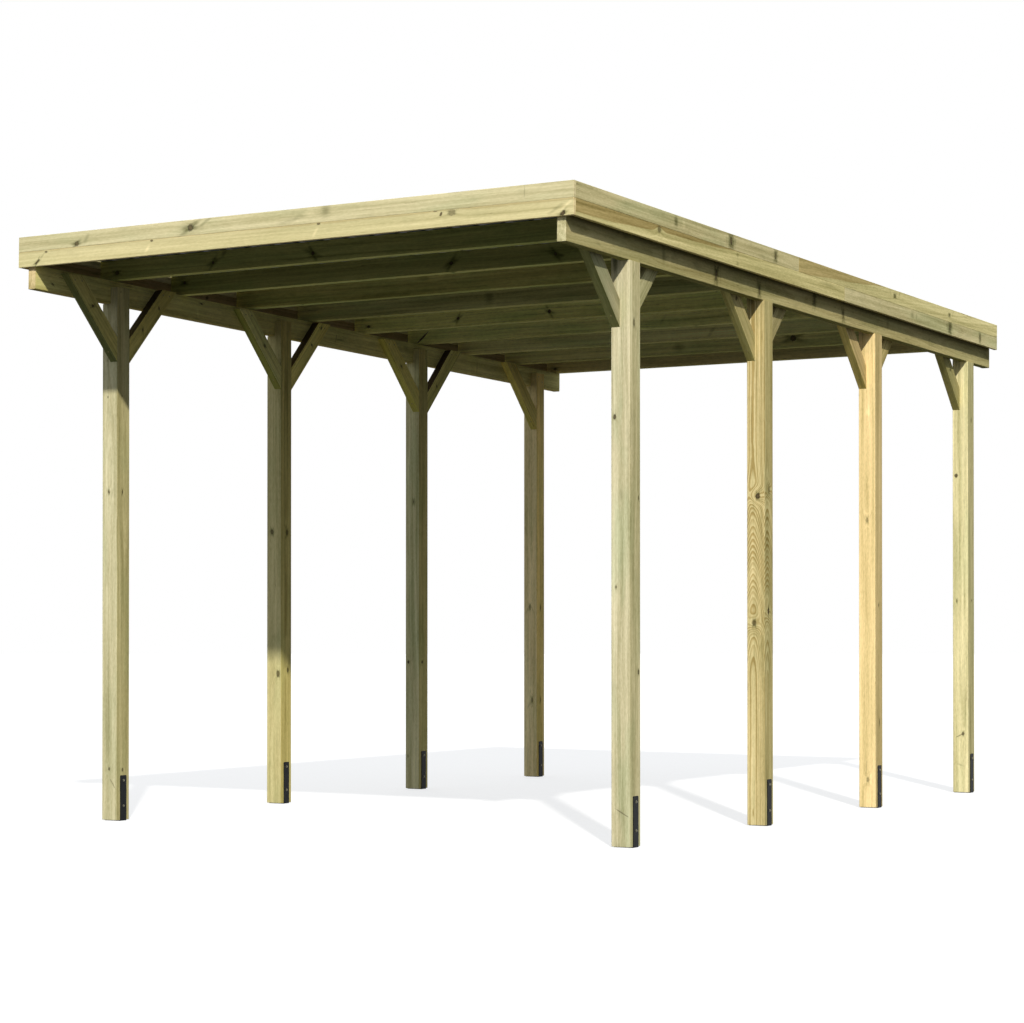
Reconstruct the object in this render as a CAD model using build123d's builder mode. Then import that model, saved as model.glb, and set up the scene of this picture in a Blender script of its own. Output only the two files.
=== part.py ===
from build123d import *
from math import atan, cos, sin
import os

# Flat-roofed timber carport, open on all four sides.
#
# Two rows of square posts stand in U-shaped steel shoes. The head of each
# post is notched on its outer half: a long purlin lies in the notches, and
# the half that is left stands behind it as a tongue. Knee braces steady the
# purlins. Rafters cross from purlin to purlin and carry trapezoidal steel
# sheets. A fascia of two boards, one above the other, hides the roof's edge
# at the front and on both sides. The roof falls gently to the back, where
# the water runs off over the last rafter.
#
# Frame: +Z up, X across, -Y the front. The origin is on the ground, under
# the middle of the roof. All sizes are in millimetres.

# --- layout ---------------------------------------------------------------
WIDTH_OVER_POSTS = 2856  # outer face to outer face of the two rows
BAY = 1310  # centre to centre of neighbouring posts in a row
POSTS_PER_ROW = 4
FRONT_OVERHANG = 529  # purlin in front of the first post
REAR_OVERHANG = 263  # purlin behind the last post
CLEAR_HEIGHT = 2472  # ground to the purlin's underside, at its front end
FALL = 19.3 / 1000  # the roof drops this much for each metre it runs back

# --- timbers --------------------------------------------------------------
POST = 90
POST_ROUND = 2
PURLIN_W = 42
PURLIN_H = 111
PURLIN_REVEAL = 6  # the purlin stands this far in from the posts' outer faces
TONGUE_RISE = 78  # the tongue's top above the purlin's underside
BRACE_W = 80
BRACE_RISE = 379  # height of a brace, from its tip to its level top
BRACE_REACH = 356  # from the post's face to the brace's far end
BRACE_DROP = 278  # the brace's tip below the purlin's underside at the post
BRACE_DROP_LAST = 266  # the same at the last post, where it sits higher
RAFTER_W = 45
RAFTER_H = 95
RAFTER_PITCH = 533  # from one rafter's front face to the next one's
RAFTER_TAIL = 21  # rafter beyond the outer face of the posts
TIMBER_ROUND = 3  # planed timber's rounded long edges

# --- fascia ---------------------------------------------------------------
FASCIA_T = 18
FASCIA_BOARD_H = 70
FASCIA_LAP = 11  # the fascia's lower edge below the purlin's top
FASCIA_ROUND = 2
FASCIA_JOINTS = {"lower": 6, "upper": 5}  # each course, and the rafter its butt joint lands on
FASCIA_JOINT_INSET = 6  # the joint behind that rafter's front face
FASCIA_JOINT_GAP = 2

# --- roof sheets ----------------------------------------------------------
SHEETS = 3
SHEET_T = 0.7
RIBS = 7  # ribs that one sheet covers
RIB_H = 20
RIB_TOP = 34
RIB_FOOT = 62
LAP_GAP = 0.3  # air between two sheets where one laps the other
SHEET_CLEARANCE = 3  # between the sheets and the fascia

# --- post shoes -----------------------------------------------------------
SHOE_T = 4
SHOE_W = 43
SHOE_H = 216  # ground to the top of the straps
SHOE_BEND = 3.5  # outer radius of the bends
SHOE_CORNER = 5  # rounded corners of the straps

# --- worked out from the sizes above --------------------------------------
PITCH = atan(FALL)
BRACE_ANGLE = atan(BRACE_RISE / BRACE_REACH)
UPRIGHT_CUT = BRACE_W / cos(BRACE_ANGLE)
LEVEL_CUT = BRACE_W / sin(BRACE_ANGLE)
OUTER_X = WIDTH_OVER_POSTS / 2
ROW_X = OUTER_X - POST / 2
PURLIN_X = OUTER_X - PURLIN_REVEAL - PURLIN_W / 2
NOTCH_W = PURLIN_REVEAL + PURLIN_W
INNER_X = OUTER_X - POST
TONGUE_W = POST - NOTCH_W
PURLIN_L = FRONT_OVERHANG + POST + (POSTS_PER_ROW - 1) * BAY + REAR_OVERHANG
RAFTER_L = WIDTH_OVER_POSTS + 2 * RAFTER_TAIL
FASCIA_LOW = PURLIN_H - FASCIA_LAP
FASCIA_HIGH = FASCIA_LOW + len(FASCIA_JOINTS) * FASCIA_BOARD_H
COVER_Z = PURLIN_H + RAFTER_H
COVER_W = RAFTER_L - 2 * SHEET_CLEARANCE

# The purlin's front end stands where it centres the roof on the origin.
FRONT_REACH = FASCIA_T * cos(PITCH) - FASCIA_LOW * sin(PITCH)
REAR_REACH = PURLIN_L * cos(PITCH) + FASCIA_HIGH * sin(PITCH)
FRONT_Y = (FRONT_REACH - REAR_REACH) / 2

SIDES = {"left": -1, "right": 1}
FIRST_POST_Y = FRONT_Y + FRONT_OVERHANG + POST / 2
POST_YS = [FIRST_POST_Y + i * BAY for i in range(POSTS_PER_ROW)]

# The roof's own plane: the purlins' underside. Its origin is at their front
# end, its y runs down the slope and its z stands square on it.
roof = Plane(
    origin=(0, FRONT_Y, CLEAR_HEIGHT),
    x_dir=(1, 0, 0),
    z_dir=(0, sin(PITCH), cos(PITCH)),
)


def underside(y):
    """Height of the purlins' underside above the ground, at y."""
    return CLEAR_HEIGHT - (y - FRONT_Y) * FALL


def down_slope(y):
    """Distance down the slope, from the purlins' front end, to y."""
    return (y - FRONT_Y) / cos(PITCH)


os.makedirs("parts", exist_ok=True)

# Post shoes: a flat bar bent to a U, under the post and up both its sides.
for side, sign in SIDES.items():
    for number, y in enumerate(POST_YS, start=1):
        with BuildPart() as shoe:
            with BuildSketch(Plane.XZ.offset(-y)):
                with Locations((sign * ROW_X, SHOE_H / 2)):
                    Rectangle(POST + 2 * SHOE_T, SHOE_H)
                with Locations((sign * ROW_X, SHOE_T + SHOE_H / 2)):
                    Rectangle(POST, SHOE_H, mode=Mode.SUBTRACT)
            extrude(amount=SHOE_W / 2, both=True)
            fillet(shoe.edges().filter_by(Axis.Y).group_by(Axis.Z)[0], SHOE_BEND)
            fillet(shoe.edges().filter_by(Axis.X).group_by(Axis.Z)[-1], SHOE_CORNER)
        shoe.part.label = f"post_shoe_{side}_{number}"
        export_step(shoe.part, f"parts/post_shoe_{side}_{number}.step")

# Posts: the outer half of the head is cut away for the purlin, and the inner
# half stays as a tongue.
for side, sign in SIDES.items():
    for number, y in enumerate(POST_YS, start=1):
        with BuildPart() as post:
            with BuildSketch(Plane.XY.offset(SHOE_T)):
                with Locations((sign * ROW_X, y)):
                    RectangleRounded(POST, POST, POST_ROUND)
            extrude(amount=underside(y) + TONGUE_RISE - SHOE_T)
            with BuildSketch(roof):
                with Locations((sign * (INNER_X + TONGUE_W + POST / 2), down_slope(y))):
                    Rectangle(POST, 2 * POST)
            extrude(amount=PURLIN_H, mode=Mode.SUBTRACT)
        post.part.label = f"post_{side}_{number}"
        export_step(post.part, f"parts/post_{side}_{number}.step")

# Purlins: on edge in the notches, a little behind the posts' outer faces.
for side, sign in SIDES.items():
    with BuildPart() as purlin:
        with BuildSketch(roof):
            with Locations((sign * PURLIN_X, PURLIN_L / 2)):
                Rectangle(PURLIN_W, PURLIN_L)
        extrude(amount=PURLIN_H)
        fillet(purlin.edges().filter_by(GeomType.LINE).sort_by(SortBy.LENGTH)[-4:], TIMBER_ROUND)
    purlin.part.label = f"purlin_{side}"
    export_step(purlin.part, f"parts/purlin_{side}.step")

# Knee braces: boards that lean out from a post to the purlin's inner face,
# cut upright against the post and level at the top. The last post has none
# behind it, where the purlin is too short for one.
for side, sign in SIDES.items():
    for number, y in enumerate(POST_YS, start=1):
        last = number == POSTS_PER_ROW
        ways = [-1] if last else [-1, 1]
        foot_z = underside(y) - (BRACE_DROP_LAST if last else BRACE_DROP)
        head_z = foot_z + BRACE_RISE
        with BuildPart() as braces:
            for way in ways:
                foot_y = y + way * POST / 2
                head_y = foot_y + way * BRACE_REACH
                with BuildSketch(Plane.YZ.offset(sign * (INNER_X + TONGUE_W / 2))):
                    with BuildLine():
                        Polyline(
                            (foot_y, foot_z),
                            (head_y, head_z),
                            (head_y - way * LEVEL_CUT, head_z),
                            (foot_y, foot_z + UPRIGHT_CUT),
                            close=True,
                        )
                    make_face()
                extrude(amount=TONGUE_W / 2, both=True)
        braces.part.label = f"knee_braces_{side}_{number}"
        export_step(braces.part, f"parts/knee_braces_{side}_{number}.step")

# Rafters: on edge across both purlins, at an even pitch from the front end.
# The last one closes the back, flush with the purlins' rear ends.
last_start = PURLIN_L - RAFTER_W
rafter_starts = [i * RAFTER_PITCH for i in range(int(last_start // RAFTER_PITCH) + 1)]
rafter_starts.append(last_start)
for number, start in enumerate(rafter_starts, start=1):
    with BuildPart() as rafter:
        with BuildSketch(roof.offset(PURLIN_H)):
            with Locations((0, start + RAFTER_W / 2)):
                Rectangle(RAFTER_L, RAFTER_W)
        extrude(amount=RAFTER_H)
        fillet(rafter.edges().filter_by(Axis.X), TIMBER_ROUND)
    rafter.part.label = f"rafter_{number}"
    export_step(rafter.part, f"parts/rafter_{number}.step")

# Fascia: two courses of board, one above the other, on the rafters' ends and
# across the front, where they also cover the ends of the side boards. A side
# course is two lengths, butted with a small gap on a rafter.
for course, (name, joint_rafter) in enumerate(FASCIA_JOINTS.items()):
    board_z = FASCIA_LOW + course * FASCIA_BOARD_H
    joint = rafter_starts[joint_rafter - 1] + FASCIA_JOINT_INSET
    lengths = [(0, joint - FASCIA_JOINT_GAP / 2), (joint + FASCIA_JOINT_GAP / 2, PURLIN_L)]
    with BuildPart() as front_board:
        with BuildSketch(roof.offset(board_z)):
            with Locations((0, -FASCIA_T / 2)):
                Rectangle(RAFTER_L + 2 * FASCIA_T, FASCIA_T)
        extrude(amount=FASCIA_BOARD_H)
        fillet(front_board.edges().filter_by(Axis.X), FASCIA_ROUND)
    front_board.part.label = f"fascia_front_{name}"
    export_step(front_board.part, f"parts/fascia_front_{name}.step")
    for side, sign in SIDES.items():
        with BuildPart() as side_boards:
            with BuildSketch(roof.offset(board_z)):
                for start, end in lengths:
                    with Locations((sign * (RAFTER_L + FASCIA_T) / 2, (start + end) / 2)):
                        Rectangle(FASCIA_T, end - start)
            extrude(amount=FASCIA_BOARD_H)
            long_edges = side_boards.edges().filter_by(lambda edge: edge.length > PURLIN_L / 4)
            fillet(long_edges, FASCIA_ROUND)
        side_boards.part.label = f"fascia_{side}_{name}"
        export_step(side_boards.part, f"parts/fascia_{side}_{name}.step")

# Roof sheets: trapezoidal ribs that run down the slope. Each sheet's last
# rib laps over the next sheet's first one.
SHEET_COVER = COVER_W / SHEETS
RIB_PITCH = SHEET_COVER / RIBS
RIB_FLANK = (RIB_FOOT - RIB_TOP) / 2
LAP_LIFT = SHEET_T + LAP_GAP
rib_section = Plane(origin=roof.from_local_coords((0, 0, COVER_Z + SHEET_T)), x_dir=(1, 0, 0), z_dir=roof.y_dir)


def rib(centre, lift=0.0):
    """Upper side of one rib, from foot to foot, raised by lift."""
    spread = lift * RIB_FLANK / RIB_H
    return [
        (centre - RIB_FOOT / 2 - spread, 0),
        (centre - RIB_TOP / 2, RIB_H + lift),
        (centre + RIB_TOP / 2, RIB_H + lift),
        (centre + RIB_FOOT / 2, lift),
    ]


sheet_lefts = [-COVER_W / 2 + i * SHEET_COVER for i in range(SHEETS)]
for number, left in enumerate(sheet_lefts, start=1):
    centres = [left + (i + 0.5) * RIB_PITCH for i in range(RIBS)]
    upper = [(left, 0)] if left == sheet_lefts[0] else []
    for centre in centres:
        upper += rib(centre)
    if number < SHEETS:
        upper += rib(centres[-1] + RIB_PITCH, LAP_LIFT)
    else:
        upper.append((COVER_W / 2, 0))
    lower = [(x, z - SHEET_T) for x, z in reversed(upper)]
    with BuildPart() as sheet:
        with BuildSketch(rib_section):
            with BuildLine():
                Polyline(*[(x, -z) for x, z in upper + lower], close=True)
            make_face()
        extrude(amount=PURLIN_L)
    sheet.part.label = f"roof_sheet_{number}"
    export_step(sheet.part, f"parts/roof_sheet_{number}.step")
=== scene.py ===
import math
import random

import bmesh
import bpy
from mathutils import Matrix, Vector


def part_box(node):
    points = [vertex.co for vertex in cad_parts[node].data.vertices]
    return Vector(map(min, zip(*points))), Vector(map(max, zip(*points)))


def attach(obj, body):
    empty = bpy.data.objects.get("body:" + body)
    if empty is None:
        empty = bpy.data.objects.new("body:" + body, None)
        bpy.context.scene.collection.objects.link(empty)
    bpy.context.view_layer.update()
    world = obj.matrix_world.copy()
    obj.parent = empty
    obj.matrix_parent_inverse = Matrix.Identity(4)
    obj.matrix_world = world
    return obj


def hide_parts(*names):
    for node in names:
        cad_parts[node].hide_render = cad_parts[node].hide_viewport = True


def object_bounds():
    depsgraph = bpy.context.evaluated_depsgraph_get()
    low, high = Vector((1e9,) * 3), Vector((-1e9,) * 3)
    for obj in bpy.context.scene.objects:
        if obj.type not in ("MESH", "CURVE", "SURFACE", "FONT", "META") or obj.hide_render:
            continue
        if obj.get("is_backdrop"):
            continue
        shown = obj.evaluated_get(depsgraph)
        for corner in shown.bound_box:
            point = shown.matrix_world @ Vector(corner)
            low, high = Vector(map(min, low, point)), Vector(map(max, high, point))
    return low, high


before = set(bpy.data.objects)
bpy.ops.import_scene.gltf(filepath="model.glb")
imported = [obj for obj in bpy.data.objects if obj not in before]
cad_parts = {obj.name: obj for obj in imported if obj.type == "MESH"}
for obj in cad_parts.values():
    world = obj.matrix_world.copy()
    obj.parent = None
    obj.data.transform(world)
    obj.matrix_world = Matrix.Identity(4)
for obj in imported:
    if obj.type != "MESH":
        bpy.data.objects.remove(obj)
cad_low, cad_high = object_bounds()
scene = bpy.context.scene

# The looks of a flat-roofed carport of pressure-treated pine. Every board is
# built again from the box of its CAD solid, with eased edges, and carries its
# own tint, pith, heartwood and knots in mesh attributes, which one timber
# material reads. Lengths are in metres unless a table says otherwise.

# ------------------------------------------------------------ shader helpers


def set_all(owner, **values):
    for key, value in values.items():
        setattr(owner, key, value)


class Tree:
    """Wires shader nodes."""

    def __init__(self, tree):
        self.nodes = tree.nodes
        self.links = tree.links

    def node(self, kind, **props):
        n = self.nodes.new(kind)
        set_all(n, **props)
        return n

    def feed(self, socket, value):
        if isinstance(value, bpy.types.NodeSocket):
            self.links.new(value, socket)
        elif value is not None:
            socket.default_value = value

    def fed(self, kind, *values, **props):
        """A node with its first inputs fed."""
        n = self.node(kind, **props)
        for socket, value in zip(n.inputs, values):
            self.feed(socket, value)
        return n

    def math(self, op, a, b=None, c=None):
        return self.fed("ShaderNodeMath", a, b, c, operation=op).outputs[0]

    def fold(self, op, values):
        total = values[0]
        for value in values[1:]:
            total = self.math(op, total, value)
        return total

    def add(self, *terms):
        return self.fold("ADD", terms)

    def times(self, *factors):
        return self.fold("MULTIPLY", factors)

    def minus(self, a, b):
        return self.math("SUBTRACT", a, b)

    def swing(self, value, by):
        """A value round 0.5, moved to round 0 and scaled."""
        return self.times(self.minus(value, 0.5), by)

    def vec(self, op, a, b=None):
        n = self.fed("ShaderNodeVectorMath", a, b, operation=op)
        return n.outputs["Value"] if op == "LENGTH" else n.outputs["Vector"]

    def scale(self, a, by):
        n = self.fed("ShaderNodeVectorMath", a, operation="SCALE")
        self.feed(n.inputs["Scale"], by)
        return n.outputs[0]

    def xyz(self, a):
        return self.fed("ShaderNodeSeparateXYZ", a).outputs

    def join(self, x=0.0, y=0.0, z=0.0):
        return self.fed("ShaderNodeCombineXYZ", x, y, z).outputs[0]

    def attribute(self, name):
        return self.node("ShaderNodeAttribute", attribute_name=name).outputs

    def three(self, name):
        return self.xyz(self.attribute(name)["Vector"])

    def noise(self, vector, detail=2.0, rough=0.5):
        n = self.node("ShaderNodeTexNoise")
        self.feed(n.inputs["Vector"], vector)
        n.inputs["Scale"].default_value = 1.0
        n.inputs["Detail"].default_value = detail
        n.inputs["Roughness"].default_value = rough
        return n.outputs

    def fit(self, value, low, high, to_low=0.0, to_high=1.0):
        n = self.fed("ShaderNodeMapRange", value, low, high, to_low, to_high,
                     interpolation_type="SMOOTHSTEP", clamp=True)
        return n.outputs[0]

    def mix(self, factor, a, b, blend="MIX"):
        n = self.node("ShaderNodeMix", data_type="RGBA", blend_type=blend, clamp_factor=True)
        self.feed(n.inputs[0], factor)
        self.feed(n.inputs[6], a)
        self.feed(n.inputs[7], b)
        return n.outputs[2]

    def tinted(self, factor, colour, by):
        """The colour, multiplied by another as far as the factor says."""
        return self.mix(factor, colour, (*by, 1.0), "MULTIPLY")

    def bump(self, shader, height, strength, distance):
        n = self.node("ShaderNodeBump")
        n.inputs["Strength"].default_value = strength
        n.inputs["Distance"].default_value = distance
        self.feed(n.inputs["Height"], height)
        self.feed(shader.inputs["Normal"], n.outputs[0])

    def plain(self, kind, colour, strength=None):
        """A plain diffuse, emission or background shader."""
        n = self.node(kind)
        n.inputs["Color"].default_value = (*colour, 1.0)
        if strength is not None:
            n.inputs["Strength"].default_value = strength
        return n.outputs[0]

    def mix_shaders(self, factor, a, b):
        return self.fed("ShaderNodeMixShader", factor, a, b).outputs[0]


def linear(r, g, b):
    """Linear colour of an 8-bit sRGB one."""

    def one(v):
        v /= 255
        return v / 12.92 if v <= 0.04045 else ((v + 0.055) / 1.055) ** 2.4

    return (one(r), one(g), one(b), 1.0)


def own_tree(owner):
    """The emptied node tree of a material or a world."""
    owner.use_nodes = True
    owner.node_tree.nodes.clear()
    return Tree(owner.node_tree)


def new_material(name):
    mat = bpy.data.materials.new(name)
    t = own_tree(mat)
    out = t.node("ShaderNodeOutputMaterial")
    shader = t.node("ShaderNodeBsdfPrincipled")
    t.links.new(shader.outputs[0], out.inputs["Surface"])
    return mat, t, shader


def to_mesh(name, bm):
    mesh = bpy.data.meshes.new(name)
    bm.to_mesh(mesh)
    bm.free()
    return mesh


def smooth(mesh, below):
    for face in mesh.polygons:
        face.use_smooth = True
    mesh.set_sharp_from_angle(angle=math.radians(below))


def add_object(name, data):
    obj = bpy.data.objects.new(name, data)
    scene.collection.objects.link(obj)
    return obj


# -------------------------------------------------------------------- timber

MARKS_PER_FACE = 3
HALF = (0.5, 0.5, 0.5)


def timber_material():
    """Planed, pressure-treated pine. Attributes of each board:
    grain       place in the board: x along it from its low end, y and z from its middle
    tint        colour of the sapwood, with painted light and shade in it (lit and shaded copies per side, painted shade toward upper edges)
    board       seed, and the pith's y and z at the low end
    heart       heartwood's radius, its strength, and how streaky the board is
    nature      how fast the pith drifts in y, how plain the rings are, how far the pith wanders
    ring_width  from one ring to the next
    taper       the rings shift outwards between its first two, by its third
    stain       green salts, grey weathering, drying checks
    endgrain    1 on a sawn end
    mark_i      place of one of the nearest knots or stains, some of the stains painted shade
    look_i      its radius, how dark it is, and how dark (or pale, below 0) its halo is
    form_i      its turn in the face, its stretch, and how far it bends the rings
    reach_i     its halo's half length and half width"""
    mat, t, shader = new_material("treated_pine")
    grain = t.attribute("grain")["Vector"]
    tint = t.attribute("tint")["Vector"]
    seed, pith_y, pith_z = t.three("board")
    heart, heart_strength, streaky = t.three("heart")
    drift, plain_rings, wander = t.three("nature")
    salts, weathered, checked = t.three("stain")
    ring_width = t.attribute("ring_width")["Fac"]
    taper_from, taper_to, taper = t.three("taper")
    end = t.attribute("endgrain")["Fac"]
    x, y, z = t.xyz(grain)
    shift = t.join(t.times(seed, 7.31), t.times(seed, 3.17), t.times(seed, 5.73))

    def field(scales, detail=2.0, rough=0.5, move=1.0):
        place = t.vec("MULTIPLY", grain, scales)
        return t.noise(t.vec("ADD", place, t.scale(shift, move)), detail, rough)["Fac"]

    fibre = field((10.0, 480.0, 480.0), 3.0, 0.6)
    streak = field((1.6, 55.0, 55.0), 3.0, 0.55)
    band = field((0.7, 17.0, 17.0), 2.0, 0.5, 1.3)
    patch = field((2.4, 11.0, 11.0), 2.0, 0.5, 1.7)
    blotch = field((9.0, 26.0, 26.0), 3.0, 0.5, 2.3)
    mottle = field((45.0, 170.0, 170.0), 2.0, 0.6, 1.1)
    wobble = field((110.0, 110.0, 110.0), 2.0, 0.6, 0.4)
    ragged = field((16.0, 95.0, 95.0), 3.0, 0.6, 0.9)

    # knots and stains: each has an ellipse of its own in the face
    core = rim = dark_halo = pale_halo = swell = 0.0
    for i in range(MARKS_PER_FACE):
        dx, dy, dz = t.xyz(t.vec("SUBTRACT", grain, t.attribute(f"mark_{i}")["Vector"]))
        size, darkness, halo = t.three(f"look_{i}")
        turn, stretch, bend = t.three(f"form_{i}")
        long, wide, _ = t.three(f"reach_{i}")
        across = t.add(dy, dz)
        cos, sin = t.math("COSINE", turn), t.math("SINE", turn)
        p = t.add(t.times(dx, cos), t.times(across, sin))
        q = t.minus(t.times(across, cos), t.times(dx, sin))
        size = t.math("MAXIMUM", size, 0.0005)
        rough_edge = t.swing(wobble, 1.5)
        ratio = t.math("DIVIDE", t.vec("LENGTH", t.join(t.math("DIVIDE", p, stretch), q)), size)
        bulge = t.math("POWER", 2.718, t.times(ratio, ratio, -0.07))
        swell = t.add(swell, t.times(bulge, size, bend))
        ratio = t.add(ratio, rough_edge)
        core = t.math("MAXIMUM", core, t.times(t.fit(ratio, 1.15, 0.7), darkness))
        ring = t.times(t.fit(ratio, 1.5, 1.05), t.fit(ratio, 0.55, 0.95))
        rim = t.math("MAXIMUM", rim, t.times(ring, darkness))
        away = t.vec("LENGTH", t.join(t.math("DIVIDE", p, long), t.math("DIVIDE", q, wide)))
        away = t.add(away, t.swing(ragged, 1.1))
        flare = t.minus(t.math("ABSOLUTE", q), t.times(t.math("ABSOLUTE", p), 0.36))
        flare = t.fit(t.math("DIVIDE", t.math("ABSOLUTE", flare), wide), 0.5, 0.0)
        flare = t.times(flare, t.fit(away, 1.5, 0.5), t.fit(bend, 0.0, 1.0))
        soft = t.times(t.add(t.fit(away, 1.0, 0.0), t.times(flare, 0.8)), halo, 1.35)
        dark_halo = t.math("MAXIMUM", dark_halo, soft)
        pale_halo = t.math("MAXIMUM", pale_halo, t.times(soft, -1.0))

    # growth rings round a pith that drifts and wanders along the board
    slow = t.noise(t.vec("ADD", t.join(t.times(x, 0.9)), shift), 1.5)["Color"]
    _, slow_y, slow_z = t.xyz(t.vec("SUBTRACT", slow, HALF))
    from_y = t.add(t.minus(y, t.add(pith_y, t.times(x, drift))), t.times(slow_y, wander))
    from_z = t.add(t.minus(z, pith_z), t.times(slow_z, wander))
    radius = t.vec("LENGTH", t.join(0.0, from_y, from_z))
    ripple = field((4.0, 20.0, 20.0), 3.0, 0.5, 0.6)
    outwards = t.times(t.fit(x, taper_from, taper_to), taper)
    radius = t.add(radius, t.swing(ripple, 0.006), swell, outwards)
    growth = t.join(t.times(radius, 85.0), t.times(x, 0.5))
    growth = t.noise(t.vec("ADD", growth, shift), 3.0, 0.6)["Fac"]
    rings = t.math("DIVIDE", radius, ring_width)
    year = t.node("ShaderNodeTexWhiteNoise", noise_dimensions="2D")
    t.feed(year.inputs["Vector"], t.join(t.math("FLOOR", rings), seed))
    late = t.math("FRACT", rings)
    late = t.times(t.fit(late, 0.2, 0.9), t.fit(late, 1.0, 0.93))
    late = t.times(late, t.fit(year.outputs["Value"], 0.0, 1.0, 0.3, 1.0))

    # colour: sapwood, browner heartwood, streaks, rings, salts and weather
    inside = t.add(t.minus(heart, radius), t.swing(patch, 0.02))
    colour = t.tinted(t.times(t.fit(inside, -0.001, 0.0025), heart_strength), tint, (0.66, 0.56, 0.46))
    tone = t.add(t.swing(streak, 0.85), t.swing(band, 0.75))
    tone = t.add(tone, t.swing(fibre, 0.35), t.swing(mottle, 0.5))
    tone = t.add(tone, t.swing(growth, 0.9))
    tone = t.math("MULTIPLY_ADD", tone, streaky, 1.0)
    colour = t.mix(1.0, colour, t.join(tone, tone, t.math("POWER", tone, 1.3)), "MULTIPLY")
    colour = t.tinted(t.times(late, plain_rings), colour, (0.66, 0.58, 0.44))
    colour = t.tinted(t.times(t.fit(patch, 0.40, 0.70), salts), colour, (0.74, 0.86, 0.80))
    colour = t.tinted(t.times(t.fit(blotch, 0.56, 0.78), weathered), colour, (0.70, 0.72, 0.70))
    # dark halos of knots and stains, and of the stain marks that paint shade
    colour = t.tinted(dark_halo, colour, (0.40, 0.42, 0.36))
    colour = t.mix(pale_halo, colour, t.mix(1.0, colour, (1.35, 1.32, 1.40, 1.0), "MULTIPLY"))
    grit = field((300.0, 300.0, 300.0), 2.0, 0.6)
    knot_wood = t.mix(grit, (0.050, 0.034, 0.020, 1.0), (0.17, 0.115, 0.06, 1.0))
    colour = t.mix(core, colour, knot_wood)
    colour = t.mix(t.times(rim, 0.85), colour, (0.030, 0.022, 0.016, 1.0))
    split = t.math("ABSOLUTE", t.minus(field((2.0, 120.0, 120.0), 1.0, 0.5, 3.1), 0.5))
    where = t.fit(field((3.0, 30.0, 30.0), 1.0, 0.5, 2.9), 0.60, 0.70)
    check = t.times(t.fit(split, 0.012, 0.004), where, checked)
    check = t.times(check, t.minus(1.0, end))
    colour = t.tinted(check, colour, (0.35, 0.30, 0.24))
    colour = t.tinted(end, colour, (0.94, 0.90, 0.84))
    t.feed(shader.inputs["Base Color"], colour)

    rough = t.add(0.64, t.swing(fibre, 0.24), t.times(late, -0.07), t.times(core, -0.12))
    t.feed(shader.inputs["Roughness"], rough)
    shader.inputs["Specular IOR Level"].default_value = 0.0
    height = t.add(t.times(fibre, 0.4), t.times(late, 0.35), t.times(rim, -1.2), t.times(check, -1.6))
    t.bump(shader, height, 0.5, 0.0006)
    return mat


timber = timber_material()

# ------------------------------------------------------ places from the CAD


def islands(node):
    """The separate solids of a CAD node, each as its corner points, from the front to the back."""
    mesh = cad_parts[node].data
    keys = {}
    at = [keys.setdefault(tuple(round(c, 5) for c in v.co), len(keys)) for v in mesh.vertices]
    root = list(range(len(keys)))

    def find(i):
        while root[i] != i:
            root[i] = root[root[i]]
            i = root[i]
        return i

    for face in mesh.polygons:
        first = find(at[face.vertices[0]])
        for v in face.vertices[1:]:
            root[find(at[v])] = first
    groups = {}
    for place, i in keys.items():
        groups.setdefault(find(i), []).append(Vector(place))
    return sorted(groups.values(), key=lambda points: min(p.y for p in points))


def span(points, axes):
    """Lowest and highest distance of the points along each axis."""
    return [(min(p.dot(a) for p in points), max(p.dot(a) for p in points)) for a in axes]


front_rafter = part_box("rafter_1")
back_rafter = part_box("rafter_10")
fall = (front_rafter[0].z - back_rafter[0].z) / (back_rafter[0].y - front_rafter[0].y)
pitch = math.atan(fall)
ACROSS = Vector((1, 0, 0))
UP = Vector((0, 0, 1))
DOWN = Vector((0, math.cos(pitch), -math.sin(pitch)))  # down the slope, to the back
NORMAL = Vector((0, math.sin(pitch), math.cos(pitch)))  # out of the roof
ROOF = (ACROSS, DOWN, NORMAL)
SIDES = (("left", -1), ("right", 1))
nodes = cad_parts

# --------------------------------------------------------------- board looks


def knot(x, y, size=6, dark=0.7, halo=0.35, long=30, wide=18, turn=0, stretch=1.0, bend=1.0):
    """A knot on a board's face. x and y are millimetres from the board's low end and from the
    face's middle line, turn is in degrees, and long and wide are its halo's half axes."""
    return dict(locals())


def stain(x, y, long, wide, strength, turn=0):
    """A soft dark patch, or a pale one where the strength is below 0. Some dark ones are painted shade: on the right
    posts' heads where the braces' shadows fall, and on the top of the first right rear brace.
    """
    return knot(x, y, size=1, dark=0.0, halo=strength, long=long, wide=wide, turn=turn, bend=0.0)


def crack(x, y, length, turn, thick=1.5, dark=0.9, halo=0.2):
    """A thin dark line."""
    return knot(x, y, thick, dark, halo, length * 0.6, 8, turn, length / 2 / thick, 0.0)


KNOT_SPACING = 900  # millimetres, about, from one seeded whorl of knots to the next


def look(tint, sides=None, pith=(90, 30), heart=(0, 0), streaky=1.0, drift=0.0, rings=0.3,
         wander=60, salts=0.35, weather=0.4, checks=0.6, marks=None, ring=4.2, taper=(0, 1, 0),
         crown=1.0):
    """How one board looks. tint is its 8-bit colour, and sides gives some sides a tint of their own, a lit or shaded
    copy of the tint that paints light and shade on that side. marks gives a side its knots and stains, some stains
    being painted shade, a plain list being the z+ side's, and the other sides get seeded ones. taper draws the rings
    out into arcs between two heights, by so many millimetres. crown is painted shade: how bright the upper edges of the
    front and side faces are against the lower ones."""
    own = dict(locals())
    own["marks"] = {"z+": marks} if isinstance(marks, list) else marks or {}
    return {**own, "sides": sides or {}}


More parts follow.
